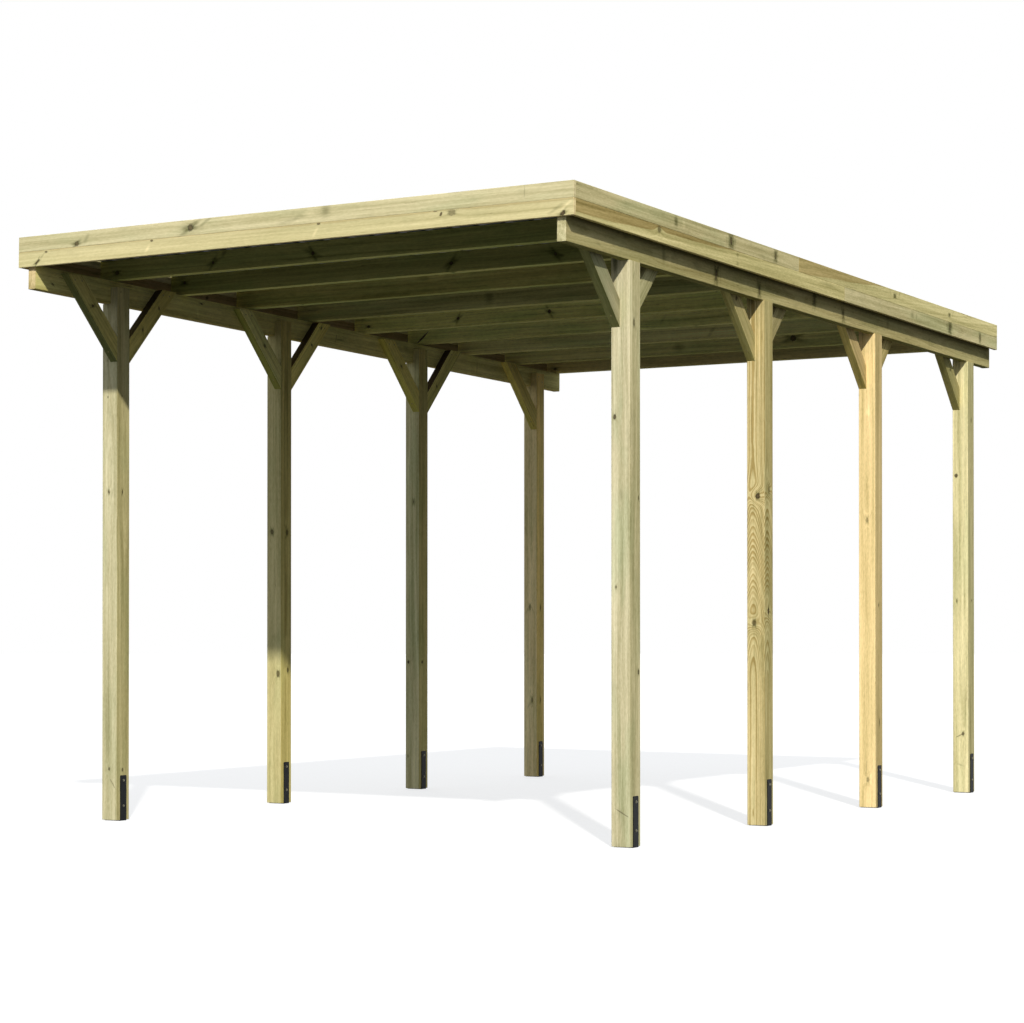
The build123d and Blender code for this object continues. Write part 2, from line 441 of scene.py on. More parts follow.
def rafter_look(face, under, marks, **more):
    """Rafters are lit least. The face tint goes on their front and back faces and the under tint on the rest; both are
    painted light, raised above the wood's own tone, and the underside is painted pale as if lit from below.
    """
    return look(under, {"z+": face, "z-": face}, marks=marks, salts=0.7, **more)


def brace_look(tint, face=None, edge=None, **more):
    """Braces show their right face and their upper edge. face and edge are lit and shaded copies of the tint for these
    sides, painted light and shade; the dark upper edges of the left rear braces are painted shade.
    """
    sides = {"z+": face, "y+": edge}
    return look(tint, {side: colour for side, colour in sides.items() if colour}, **more)


# Tints hold painted light and shade besides the wood's own tone: each side tint is a lit or shaded copy of the board's
# main tint, boards deep in shade (the rafters, the shaded posts) are lightened, the left rear braces' upper edges and
# the left fascia's inner faces are darkened, and crown darkens upper edges.
LOOKS = {
    "rafter_1": rafter_look((182, 176, 102), (221, 220, 138), []),
    "rafter_2": rafter_look((188, 185, 109), (221, 220, 138), [knot(103, -14, 9, 0.75, 0.5, 30, 25),
        knot(678, -6, 5, 0.95, 0.5, 45, 30, 40), knot(1245, -7, 7, 0.95, 0.5, 50, 30, -40),
        stain(740, 30, 40, 18, 0.5, 50)]),
    "rafter_3": rafter_look((175, 172, 101), (218, 216, 136), [knot(86, 12, 6, 0.95, 0.5, 30, 22),
        knot(1648, -5, 7, 0.95, 0.55, 55, 30, 40), knot(2205, -4, 6, 0.95, 0.55, 60, 26, -35)]),
    "rafter_4": rafter_look((215, 204, 120), (212, 211, 132), [stain(1150, 30, 60, 16, 0.4),
        knot(2350, -2, 5, 0.6, 0.3)]),
    "rafter_5": rafter_look((201, 195, 126), (208, 205, 130), [stain(1199, -1, 45, 40, 0.55),
        knot(2480, 8, 5, 0.5, 0.3)]),
    "rafter_6": rafter_look((248, 242, 150), (207, 203, 128), [knot(95, -13, 7, 0.85, 0.4),
        knot(676, -4, 7, 0.95, 0.45, 40, 25, 50), knot(1242, -3, 8, 0.95, 0.45, 50, 25, -40)]),
    "rafter_7": rafter_look((248, 241, 156), (206, 200, 126), [crack(100, -14, 62, 41, 4, 0.95, 0.4),
        crack(125, 8, 40, 41, 1.5, 0.8), stain(1637, -5, 50, 14, 0.3, 55)], rings=0.2),
    "rafter_8": rafter_look((240, 232, 160), (204, 198, 126), [stain(1660, -9, 60, 16, 0.35, 50)]),
    "rafter_9": rafter_look((238, 227, 151), (202, 196, 122), [knot(1909, 4, 14, 0.9, 0.6, 95, 34),
        stain(1181, -7, 60, 34, 0.5)]),
    "rafter_10": rafter_look((215, 199, 134), (200, 192, 120), [knot(61, -22, 7, 0.6, 0.4)]),
    "purlin_left": look((198, 182, 116), {"z+": (220, 208, 134), "x-": (216, 197, 148)}, pith=(10, -95), marks=[
        knot(119, -19, 4, 0.5, 0.3, 30, 8, -20, 2.0), knot(1223, 33, 3, 0.7, 0.25, 30, 8, -10, 2.5),
        stain(1196, -20, 14, 30, -0.5), crack(2431, -9, 60, 5, 1.2, 0.7), crack(2394, -5, 40, 80, 1.2, 0.7),
        stain(3079, 20, 40, 25, 0.3), crack(3836, -1, 60, 88, 1.2, 0.5)]),
    # crown=0.66 is painted shade: the fascia's shadow on this purlin's outer face
    "purlin_right": look((158, 149, 100), {"z+": (176, 164, 112), "x-": (209, 203, 160), "y-": (150, 146, 92)},
        pith=(10, -95), weather=0.8, crown=0.66, marks=[stain(844, 10, 26, 60, 0.45), stain(900, 0, 20, 50, -0.35),
        knot(1350, -6, 5.5, 0.8, 0.5, 60, 44, 84, 3.6), stain(1392, 0, 60, 12, 0.25, 94),
        knot(1797, -15, 4.5, 0.7, 0.45, 60, 40, 95, 4.2), stain(1772, 5, 50, 10, 0.3, 88),
        knot(2413, 16, 5, 0.6, 0.5, 45, 44, 80, 2.6), knot(2759, -10, 4.5, 0.5, 0.4, 60, 36, 100, 3),
        stain(3330, 15, 30, 40, 0.35), stain(3445, 0, 25, 45, -0.3), stain(3900, 0, 50, 12, 0.3, 90)]),
    "fascia_front_lower_1": look((226, 211, 160), {"z+": (216, 204, 151)}, pith=(101, 5), heart=(73, 0.42),
        wander=14, rings=0.12, salts=0.12, weather=0.25, streaky=0.6, crown=0.88, marks=[
        knot(166, 27, 5, 0.6, 0.3, 16, 8), knot(112, -17, 4, 0.8, 0.6, 34, 12, 42, 3.2),
        stain(142, 8, 34, 8, 0.35, 42), knot(781, 29, 4, 0.75, 0.2, 16, 6, 0, 1.6),
        stain(756, -6, 34, 12, -0.5, 55), knot(1686, 30, 4, 0.75, 0.2, 16, 6, 0, 1.6),
        stain(1669, -6, 34, 12, -0.5, 55), knot(2357, 22, 12, 0.35, 0.3, 34, 16, 0, 1.3),
        knot(2304, 19, 4, 0.8, 0.3, 14, 9, 55, 1.8), knot(2276, 34, 3, 0.7, 0.2, 16, 5, 0, 3),
        knot(2884, -25, 7, 0.9, 0.5, 26, 20, 35, 1.7), stain(2850, -6, 60, 12, 0.35, 30),
        stain(2905, 10, 60, 9, -0.5, 38)]),
    "fascia_front_upper_1": look((212, 202, 158), {"z+": (205, 195, 150)}, pith=(-120, 8), rings=0.15, salts=0.4,
        weather=0.4, streaky=0.75, marks=[knot(998, 0, 13, 0.75, 0.5, 80, 30, 12, 1.0, 1.6),
        stain(1075, 16, 70, 12, 0.4, 30), knot(347, -20, 9, 0.6, 0.5, 34, 26, 20), stain(402, -4, 34, 18, 0.42, 50),
        stain(1722, 14, 44, 38, 0.5, 45), stain(1640, 8, 50, 22, -0.45), stain(1534, -14, 130, 16, 0.28, 8),
        crack(2704, 7, 40, 90, 1.0, 0.3, 0.1)]),
    "fascia_right_lower_1": look((201, 189, 130), {"z+": (203, 191, 133)}, pith=(100, 4), heart=(120, 0.85),
        drift=0.036, wander=22, rings=0.15, salts=0.1, weather=0.2, marks=[
        knot(716, 18, 13, 0.4, 0.35, 22, 34, 0, 0.8, 1.5), stain(1472, 18, 20, 16, 0.5),
        stain(1473, -20, 18, 14, 0.4), stain(2480, 20, 150, 14, 0.25, -3)]),
    "fascia_right_lower_2": look((181, 170, 123), {"z+": (195, 184, 137)}, salts=0.6, weather=0.6, marks=[
        stain(881, 6, 30, 34, 0.5, 90), stain(935, 4, 16, 30, 0.35), knot(1415, 5, 5.5, 0.8, 0.65, 44, 56, 84, 2.6),
        stain(1370, 6, 36, 12, 0.4, 94), knot(1870, 4, 4.5, 0.6, 0.5, 40, 40, 95, 2.6)]),
    "fascia_right_upper_1": look((180, 170, 124), {"z+": (192, 181, 133)}, salts=0.6, weather=0.5, marks=[
        stain(871, 6, 40, 28, 0.8, 90), stain(942, 2, 24, 34, -0.4), knot(1407, 4, 6, 0.85, 0.7, 44, 62, 96, 2.6),
        stain(1450, 0, 36, 12, 0.35, 86), stain(1360, 0, 36, 12, 0.3, 90),
        knot(1875, 2, 4.5, 0.75, 0.55, 40, 44, 84, 2.8), stain(1835, 5, 34, 8, 0.3, 92)]),
    "fascia_right_upper_2": look((203, 190, 126), {"z+": (201, 190, 134)}, pith=(72, 2), heart=(120, 0.75),
        drift=0.078, wander=10, rings=0.15, salts=0.15, weather=0.3, marks=[
        knot(1175, 4, 8, 0.4, 0.55, 24, 30, 0, 0.8), stain(1235, 20, 30, 10, 0.4, 60),
        stain(1110, 20, 30, 10, 0.3, -60), knot(1938, 2, 7, 0.45, 0.5, 22, 26, 0, 0.8),
        stain(1990, 15, 28, 10, 0.35, 60)]),
    "fascia_left_lower_1": look((205, 184, 140), {"z+": (172, 150, 108)}, pith=(-80, 5)),
    "fascia_left_lower_2": look((198, 180, 136), {"z+": (168, 148, 106)}, pith=(70, 5)),
    "fascia_left_upper_1": look((206, 194, 146), pith=(-90, 6)),
    "fascia_left_upper_2": look((200, 190, 140), pith=(85, 3), heart=(92, 0.6)),
    "post_left_1": look((204, 196, 154), {"y-": (191, 180, 127)}, pith=(10, -12), marks={"z+": [
            knot(2013, 12, 3.4, 0.5, 0.4, 8, 5), knot(1560, 5, 4.6, 0.7, 0.55, 34, 7, 8),
            stain(1548, -14, 30, 6, 0.3, -12), knot(242, 2, 5.8, 0.5, 0.5, 12, 9), stain(1100, -2, 600, 9, -0.3),
            crack(175, -18, 46, 35, 2.0, 0.35)],
            "y-": [knot(2018, 10, 3.4, 0.5, 0.4, 8, 5), knot(1561, 6, 4.6, 0.6, 0.55, 34, 7, -8),
            stain(1500, -8, 50, 5, 0.25), knot(238, 3, 5.8, 0.5, 0.5, 12, 9), crack(180, -14, 40, -30, 2.0, 0.3)]}),
    "post_left_2": look((203, 191, 135), {"y-": (197, 181, 111)}, pith=(-30, 2), heart=(16, 0.7), wander=14,
        rings=0.2, marks={"z+": [knot(672, -27, 10.3, 0.5, 0.55, 26, 14, 0, 1.3, 1.6),
            knot(1410, 13, 9.2, 0.5, 0.65, 26, 22), stain(560, -4, 90, 10, 0.15)],
            "y-": [knot(690, -15, 8, 0.5, 0.5, 22, 12, 0, 1.2, 1.4), knot(1408, -8, 9.2, 0.4, 0.6, 30, 18),
            stain(2260, 26, 360, 18, -1.0)]}),
    "post_left_3": look((207, 198, 149), {"y-": (201, 185, 119)}, pith=(24, 18), salts=0.6, marks={"z+": [
            knot(714, 26, 5.8, 0.85, 0.6, 14, 12), stain(182, 29, 16, 14, 0.5), knot(1620, -8, 4.6, 0.3, 0.4)],
            "y-": [knot(714, 13, 5.8, 0.85, 0.6, 12, 10)]}),
    "post_left_4": look((238, 216, 158), {"y-": (233, 203, 124)}, pith=(-8, 22), rings=0.2, marks={"z+": [
            knot(1032, 3, 6.9, 0.3, 0.6, 40, 10, 0, 1.0, 1.6), stain(1015, -16, 40, 8, 0.35, 20),
            stain(1015, 20, 40, 8, 0.35, -20), knot(465, -12, 8, 0.3, 0.55, 50, 10, 0, 1, 1.6),
            stain(520, -8, 60, 6, -0.5, 8), stain(430, 12, 40, 8, 0.35, -25)],
            "y-": [knot(1030, 0, 6.9, 0.3, 0.55, 40, 10), knot(465, 0, 6.9, 0.3, 0.5, 40, 10)]}),
    "post_right_1": look((212, 202, 162), {"y+": (195, 185, 140)}, pith=(-55, 60), salts=0.7, rings=0.22, marks={"z-": [
            knot(1802, -28, 6.9, 0.7, 0.5, 16, 12, 0, 1.2), stain(1474, 2, 40, 16, 0.25),
            knot(1088, -22, 4.6, 0.45, 0.4, 14, 7), crack(142, 6, 62, 118, 2.0, 0.5),
            # stain(2456, -24, 70, 26, 0.75) is painted shade: the front brace's shadow on the post's head
            stain(1390, 0, 160, 18, -0.18), stain(2270, -24, 70, 14, 0.3), stain(2456, -24, 70, 26, 0.75),
            stain(2020, -39, 420, 6, 0.3)],
            "y+": [knot(731, 29, 6.9, 0.6, 0.6, 18, 12), knot(1463, 30, 4.6, 0.5, 0.5, 16, 8),
            stain(2398, -10, 34, 8, 0.35, 20), knot(2198, -10, 9, 0.32, 0.5, 30, 16, 0, 1.2, 1.4),
            stain(2130, -18, 60, 5, 0.35)]}),
    "post_right_2": look((216, 199, 143), {"y+": (188, 176, 123)}, pith=(-13, -15), rings=1.8, wander=7, ring=6.0,
        taper=(660, 1720, 155), salts=0.15, weather=0.2, marks={"z-": [
            knot(1526, 10, 9.5, 0.85, 0.5, 26, 20, 0, 1.0, 4.0), knot(937, -9, 9, 0.45, 0.6, 26, 18, 0, 1.1, 3.0),
            # stain(2456, -24, 70, 26, 0.75) is painted shade: the front brace's shadow on the post's head
            stain(2456, -24, 70, 26, 0.75)],
            "y+": [knot(992, -4, 8, 0.9, 0.6, 50, 8, 0, 1.4, 2.2), knot(1556, 3, 8, 0.25, 0.45, 40, 14, 0, 1, 2.6)]}),
    "post_right_3": look((245, 218, 154), {"y+": (190, 169, 116)}, pith=(4, -14), wander=34, rings=0.12,
        salts=0.05, weather=0.1, checks=0.2, marks={"z-": [stain(2010, 6, 40, 20, -0.45),
            knot(1460, 0, 8, 0.18, 0.4, 30, 12, 0, 1, 1.8), stain(1480, -18, 44, 7, 0.2, -18),
            stain(1480, 18, 44, 7, 0.2, 18), knot(140, 3, 8, 0.22, 0.4, 26, 14, 0, 1, 2),
            # stain(2456, -24, 70, 26, 0.75) is painted shade: the front brace's shadow on the post's head
            crack(200, -6, 70, 4, 1.0, 0.35), stain(2456, -24, 70, 26, 0.75)],
            "y+": [knot(1027, -5, 5.8, 0.3, 0.45, 16, 8), knot(430, 4, 4.6, 0.3, 0.4)]}),
    "post_right_4": look((238, 226, 171), {"y+": (176, 167, 120)}, pith=(20, -20), rings=0.15, salts=0.3, marks={"z-": [
            knot(1751, -24, 8, 0.8, 0.55, 16, 12), knot(1057, -22, 4.6, 0.4, 0.5, 20, 8),
            knot(323, 13, 6.9, 0.6, 0.55, 18, 12), crack(313, -6, 40, 65, 2.2, 0.5), stain(150, 0, 10, 30, 0.4, 20),
            # stain(2456, -24, 70, 26, 0.75) is painted shade: the front brace's shadow on the post's head
            stain(2456, -24, 70, 26, 0.75)],
            "y+": [knot(1060, 8, 4.6, 0.7, 0.5, 14, 6), knot(2060, 4, 6.9, 0.4, 0.5, 24, 8)]}),
    "knee_braces_left_1_1": brace_look((160, 151, 90), (208, 195, 119), (122, 124, 76), marks=[
        knot(300, 0, 6, 0.75, 0.4, 26, 16, 60)]),
    "knee_braces_left_1_2": brace_look((208, 193, 112), edge=(84, 74, 50), marks=[
        knot(190, 4, 6, 0.5, 0.35, 30, 12, 40), knot(360, -6, 5, 0.7, 0.4, 26, 10, 60)]),
    "knee_braces_left_2_1": brace_look((180, 174, 106), (232, 223, 149), (156, 152, 77), salts=0.7, marks=[
        knot(250, 0, 7, 0.5, 0.4, 22, 16)]),
    "knee_braces_left_2_2": brace_look((243, 226, 135), edge=(84, 72, 50), marks=[
        knot(310, 0, 5, 0.7, 0.35, 18, 12, 70), knot(440, 4, 5, 0.6, 0.35, 20, 12)]),
    "knee_braces_left_3_1": brace_look((192, 182, 106), (231, 214, 125), (193, 182, 91), marks=[
        knot(300, 6, 5, 0.6, 0.3)]),
    "knee_braces_left_3_2": brace_look((213, 202, 122), edge=(76, 64, 48), marks=[
        knot(180, 0, 5, 0.7, 0.35, 18, 12, 60)]),
    "knee_braces_left_4_1": brace_look((180, 165, 92), (209, 189, 111), (215, 197, 105)),
    "knee_braces_right_1_1": brace_look((155, 150, 105), (164, 157, 121), (143, 142, 89), salts=0.7, marks=[
        stain(330, 8, 60, 8, 0.3)]),
    # stain(500, 0, 90, 60, 0.8) is painted shade over this brace's upper end
    "knee_braces_right_1_2": brace_look((172, 165, 120), (167, 161, 116), marks=[stain(500, 0, 90, 60, 0.8)]),
    "knee_braces_right_2_1": brace_look((176, 166, 104), (171, 157, 106), (205, 194, 122), marks=[
        knot(330, 0, 6, 0.7, 0.4, 18, 14, 90)]),
    "knee_braces_right_2_2": brace_look((158, 147, 101), marks=[knot(180, 0, 6, 0.6, 0.35, 26, 14, 40)]),
    "knee_braces_right_3_1": brace_look((200, 180, 118), (181, 160, 109), (217, 198, 116), salts=0.1),
    "knee_braces_right_3_2": brace_look((172, 156, 101), salts=0.1),
    "knee_braces_right_4_1": brace_look((180, 168, 120), (154, 145, 95), (192, 181, 113), marks=[
        knot(250, 0, 6, 0.6, 0.4, 20, 14, 60)]),
}


NO_MARK = knot(0, 0, size=1, dark=0.0, halo=0.0, long=10, wide=10, bend=0.0)


def side_of(normal):
    """Which side of a board a face is on, from its normal in the board's own axes."""
    best = max(range(3), key=lambda i: abs(normal[i]))
    return "xyz"[best] + ("+" if normal[best] > 0 else "-")


def seeded_knots(rng, low, high):
    """Knots for a board's long sides: a whorl every so often, with one to three branches."""
    out = {side: [] for side in ("y-", "y+", "z-", "z+")}
    at = rng.uniform(0.1, 1.0) * KNOT_SPACING
    while at < (high[0] - low[0]) * 1000 - 40:
        for side in rng.sample(sorted(out), rng.choice((1, 2, 2, 3))):
            cross = 2 if side[0] == "y" else 1
            wide = (high[cross] - low[cross]) * 1000
            size = rng.uniform(2.5, 8.5) * min(1.0, 0.4 + wide / 120)
            out[side].append(knot(
                at + rng.uniform(-25, 25), rng.uniform(-0.36, 0.36) * wide, size,
                rng.uniform(0.3, 0.85), rng.uniform(0.15, 0.42), rng.uniform(18, 46),
                rng.uniform(10, 22), rng.uniform(-50, 50)))
        at += rng.uniform(0.45, 1.5) * KNOT_SPACING
    return out


def attribute(mesh, name, domain, values, kind="FLOAT_VECTOR"):
    data = mesh.attributes.new(name, kind, domain).data
    data.foreach_set("vector" if kind == "FLOAT_VECTOR" else "value", values)


def write_look(mesh, name, seed):
    """Writes a board's look into its mesh while the mesh is still in the board's own axes."""
    own = LOOKS[name]
    low = [min(v.co[i] for v in mesh.vertices) for i in range(3)]
    high = [max(v.co[i] for v in mesh.vertices) for i in range(3)]
    places = [(v.co.x - low[0], v.co.y, v.co.z) for v in mesh.vertices]
    attribute(mesh, "grain", "POINT", [c for place in places for c in place])
    marks = seeded_knots(random.Random(seed * 977 + 5), low, high)
    marks.update(own["marks"])
    names = [f"{kind}_{i}" for i in range(MARKS_PER_FACE) for kind in ("mark", "look", "form", "reach")]
    data = {key: [] for key in ["board", "heart", "nature", "stain", "taper", *names]}
    tints, ends = [], []
    for face in mesh.polygons:
        side = side_of(face.normal)
        centre = Vector((face.center.x - low[0], face.center.y, face.center.z))
        level = {"y+": high[1], "y-": low[1], "z+": high[2], "z-": low[2]}.get(side, 0.0)
        near = []
        for m in marks.get(side, ()):
            at, cross = m["x"] / 1000, m["y"] / 1000
            at = (at, level, cross) if side[0] == "y" else (at, cross, level)
            near.append((abs(centre.x - at[0]) - max(m["long"], m["wide"]) / 1000, at, m))
        near.sort(key=lambda item: item[0])
        near += [(0, (centre.x + 9.0, 0.0, 0.0), NO_MARK)] * MARKS_PER_FACE
        for i, (_, at, m) in enumerate(near[:MARKS_PER_FACE]):
            data[f"mark_{i}"] += at
            data[f"look_{i}"] += (m["size"] / 1000, m["dark"], m["halo"])
            data[f"form_{i}"] += (math.radians(m["turn"]), m["stretch"], m["bend"])
            data[f"reach_{i}"] += (m["long"] / 1000, m["wide"] / 1000, 0.0)
        data["board"] += (seed, own["pith"][0] / 1000, own["pith"][1] / 1000)
        data["heart"] += (own["heart"][0] / 1000, own["heart"][1], own["streaky"])
        data["nature"] += (own["drift"], own["rings"], own["wander"] / 1000)
        data["stain"] += (own["salts"], own["weather"], own["checks"])
        data["taper"] += [v / 1000 for v in own["taper"]]
        tint = own["sides"].get(side, own["tint"])
        for corner in face.vertices:
            # painted shade: front and side faces darken toward their upper edge by crown
            up = (places[corner][1] - low[1]) / (high[1] - low[1]) if side[0] == "z" else 0.0
            shade = 1.0 + (own["crown"] - 1.0) * up
            tints += [c * shade for c in linear(*tint)[:3]]
        ends.append(1.0 if side[0] == "x" else 0.0)
    for key, values in data.items():
        attribute(mesh, key, "FACE", values)
    attribute(mesh, "tint", "CORNER", tints)
    attribute(mesh, "endgrain", "FACE", ends, "FLOAT")
    attribute(mesh, "ring_width", "FACE", [own["ring"] / 1000] * len(ends), "FLOAT")


# -------------------------------------------------------------------- boards

SLICE = 0.06  # boards are cut this fine along their length, so each face has its own knots
END_EASE = 0.0012
TIMBER_EASE = 0.003
BOARD_EASE = 0.002  # fascia boards and posts
BRACE_EASE = 0.0015
MOSTLY = 0.6  # an edge or a normal with more than this of x in it points along the board


def is_end(face):
    return abs(face.normal.x) > MOSTLY


def board_mesh(name, outline, thickness, axes, origin, rounding, ends=END_EASE, shape=None):
    """A board from an outline in its own x, y plane, as thick as given along its own z. axes are
    its own axes and origin its own zero, in the row frame. shape moves the corners before the
    edges are eased."""
    bm = bmesh.new()
    low_ring = [bm.verts.new((x, y, -thickness / 2)) for x, y in outline]
    high_ring = [bm.verts.new((x, y, thickness / 2)) for x, y in outline]
    bm.faces.new(list(reversed(low_ring)))
    bm.faces.new(high_ring)
    for i in range(len(outline)):
        j = (i + 1) % len(outline)
        bm.faces.new((low_ring[i], low_ring[j], high_ring[j], high_ring[i]))
    if shape:
        for v in bm.verts:
            shape(v.co)
    bmesh.ops.recalc_face_normals(bm, faces=bm.faces)
    bm.normal_update()
    ease = dict(offset_type="OFFSET", profile=0.5, affect="EDGES", clamp_overlap=True)
    along = [e for e in bm.edges if abs((e.verts[0].co - e.verts[1].co).normalized().x) > MOSTLY]
    bmesh.ops.bevel(bm, geom=along, offset=rounding, segments=3, **ease)
    bm.normal_update()
    if ends:
        rim = [e for e in bm.edges if len(e.link_faces) == 2
               and is_end(e.link_faces[0]) != is_end(e.link_faces[1])]
        bmesh.ops.bevel(bm, geom=rim, offset=ends, segments=1, **ease)
    low = min(v.co.x for v in bm.verts)
    high = max(v.co.x for v in bm.verts)
    slices = max(1, round((high - low) / SLICE))
    for i in range(1, slices):
        cut = (low + (high - low) * i / slices, 0, 0)
        geom = [*bm.verts, *bm.edges, *bm.faces]
        bmesh.ops.bisect_plane(bm, geom=geom, plane_co=cut, plane_no=(1, 0, 0), dist=1e-5)
    bm.normal_update()
    mesh = to_mesh(name, bm)
    write_look(mesh, name, 0.731 * (1 + sorted(LOOKS).index(name)))
    turn = Matrix(axes).transposed().to_4x4()
    mesh.transform(Matrix.Translation(origin) @ turn)
    if turn.determinant() < 0:
        mesh.flip_normals()
    mesh.materials.append(timber)
    smooth(mesh, 50)
    return mesh


def put(name, meshes, slot, node):
    """One piece from one or more meshes, standing for a CAD node."""
    mesh = meshes[0]
    if len(meshes) > 1:
        bm = bmesh.new()
        for m in meshes:
            bm.from_mesh(m)
        bm.to_mesh(mesh)
        bm.free()
    obj = add_object(name, mesh)
    obj.modifiers.new("even_normals", "WEIGHTED_NORMAL").keep_sharp = True
    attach(obj, "root")
    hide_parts(node)


def straight_board(name, island, along, rounding):
    """A board that lies in the roof's plane, its length along x or down the slope. Its own y is
    out of the roof. Its own z is the front face of a cross board, and the right face of a board
    down the slope."""
    (x0, x1), (s0, s1), (n0, n1) = span(island, ROOF)
    centre = ACROSS * (x0 + x1) / 2 + DOWN * (s0 + s1) / 2 + NORMAL * (n0 + n1) / 2
    if along == "x":
        length, thick, axes = x1 - x0, s1 - s0, (ACROSS, NORMAL, ACROSS.cross(NORMAL))
    else:
        length, thick, axes = s1 - s0, x1 - x0, (DOWN, NORMAL, DOWN.cross(NORMAL))
    half, high = length / 2, (n1 - n0) / 2
    outline = [(-half, -high), (half, -high), (half, high), (-half, high)]
    return board_mesh(name, outline, thick, axes, centre, rounding)


for node in sorted(n for n in nodes if n.startswith("rafter_")):
    mesh = straight_board(node, islands(node)[0], "x", TIMBER_EASE)
    put(node + "_board", [mesh], "frame_timber", node)
for side, _ in SIDES:
    node = "purlin_" + side
    mesh = straight_board(node, islands(node)[0], "y", TIMBER_EASE)
    put(node + "_board", [mesh], "frame_timber", node)
for node in sorted(n for n in nodes if n.startswith("fascia_")):
    for i, island in enumerate(islands(node), start=1):
        mesh = straight_board(f"{node}_{i}", island, "x" if "front" in node else "y", BOARD_EASE)
        put(f"{node}_board_{i}", [mesh], "fascia_timber", node)

# posts: own x up, own y outwards; the head's outer half is notched for the purlin
for side, sign in SIDES:
    (px0, px1), _, (pn0, _) = span(islands("purlin_" + side)[0], ROOF)
    out = Vector((sign, 0, 0))
    axes = (UP, out, UP.cross(out))
    for i in range(1, 5):
        node = f"post_{side}_{i}"
        low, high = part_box(node)
        middle = Vector(((low.x + high.x) / 2, (low.y + high.y) / 2, 0.0))
        half = (high.x - low.x) / 2
        notch = ((px1 if sign < 0 else px0) - middle.x) * sign
        seat = pn0 / math.cos(pitch)  # the purlin's underside at y = 0
        mark = high.z - 0.05  # stands in for the seat's height until the slope is known

        def on_seat(co, middle=middle, seat=seat, mark=mark, back=axes[2].y):
            if abs(co.x - mark) < 1e-6:
                co.x = seat - (middle.y + co.z * back) * fall

        outline = [(low.z, -half), (high.z, -half), (high.z, notch), (mark, notch),
                   (mark, half), (low.z, half)]
        mesh = board_mesh(node, outline, high.y - low.y, axes, middle, BOARD_EASE, shape=on_seat)
        put(node + "_board", [mesh], "post_timber", node)

# knee braces: own x along the grain from the foot, own z to the right
brace_screws = []
for side, sign in SIDES:
    for i in range(1, 5):
        node = f"knee_braces_{side}_{i}"
        meshes = []
        for number, island in enumerate(islands(node), start=1):
            corners = sorted({(round(p.y, 4), round(p.z, 4)) for p in island})
            x0, x1 = span(island, ROOF)[0]
            foot = min(corners, key=lambda c: c[1])
            ahead = [c for c in corners if c[0] != foot[0]]
            up = max((c for c in corners if abs(c[0] - foot[0]) < 1e-3), key=lambda c: c[1])
            way = 1 if ahead[0][0] > foot[0] else -1
            far = max(ahead, key=lambda c: c[0] * way)
            near = min(ahead, key=lambda c: c[0] * way)
            along = Vector((0, far[0] - foot[0], far[1] - foot[1])).normalized()
            axes = (along, ACROSS.cross(along), ACROSS)
            middle = [sum(c[i] for c in corners) / len(corners) for i in (0, 1)]
            middle = Vector(((x0 + x1) / 2, *middle))
            own = [Vector((middle.x, *c)) - middle for c in (foot, far, near, up)]
            outline = [(p.dot(axes[0]), p.dot(axes[1])) for p in own]
            name = f"{node}_{number}"
            meshes.append(board_mesh(name, outline, x1 - x0, axes, middle, BRACE_EASE, ends=0.0))
            brace_screws.append((side, x0, x1, far, near, foot, way, along))
        put(node + "_boards", meshes, "frame_timber", node)

# -------------------------------------------------------------- metal looks


def metal_look(name, dark, light, scale, rough, bump, metallic=0.0, specular=0.5):
    """Coated or plated steel: two near tones, uneven gloss and a faint orange peel."""
    mat, t, shader = new_material(name)
    place = t.node("ShaderNodeTexCoord").outputs["Object"]
    cloud = t.noise(t.scale(place, scale), 4.0, 0.6)["Fac"]
    peel = t.noise(t.scale(place, 900.0), 2.0, 0.5)["Fac"]
    dust = t.fit(t.noise(t.scale(place, scale * 3.7), 3.0, 0.65)["Fac"], 0.5, 0.75)
    t.feed(shader.inputs["Base Color"], t.mix(t.fit(cloud, 0.3, 0.7), linear(*dark), linear(*light)))
    t.feed(shader.inputs["Roughness"], t.add(rough, t.swing(cloud, 0.2), t.times(dust, 0.12)))
    shader.inputs["Metallic"].default_value = metallic
    shader.inputs["Specular IOR Level"].default_value = specular
    t.bump(shader, peel, bump, 0.0002)
    return mat


black_coat = metal_look("black_coated_steel", (13, 15, 16), (27, 29, 30), 30.0, 0.5, 0.35, specular=0.12)
zinc = metal_look("zinc_plated_steel", (92, 90, 76), (128, 124, 106), 200.0, 0.45, 0.2, 0.6)
bronze = metal_look("bronze_coated_steel", (150, 138, 88), (186, 174, 116), 200.0, 0.5, 0.2, 0.0, 0.15)
rubber = metal_look("black_rubber", (18, 18, 18), (30, 30, 30), 300.0, 0.75, 0.5)


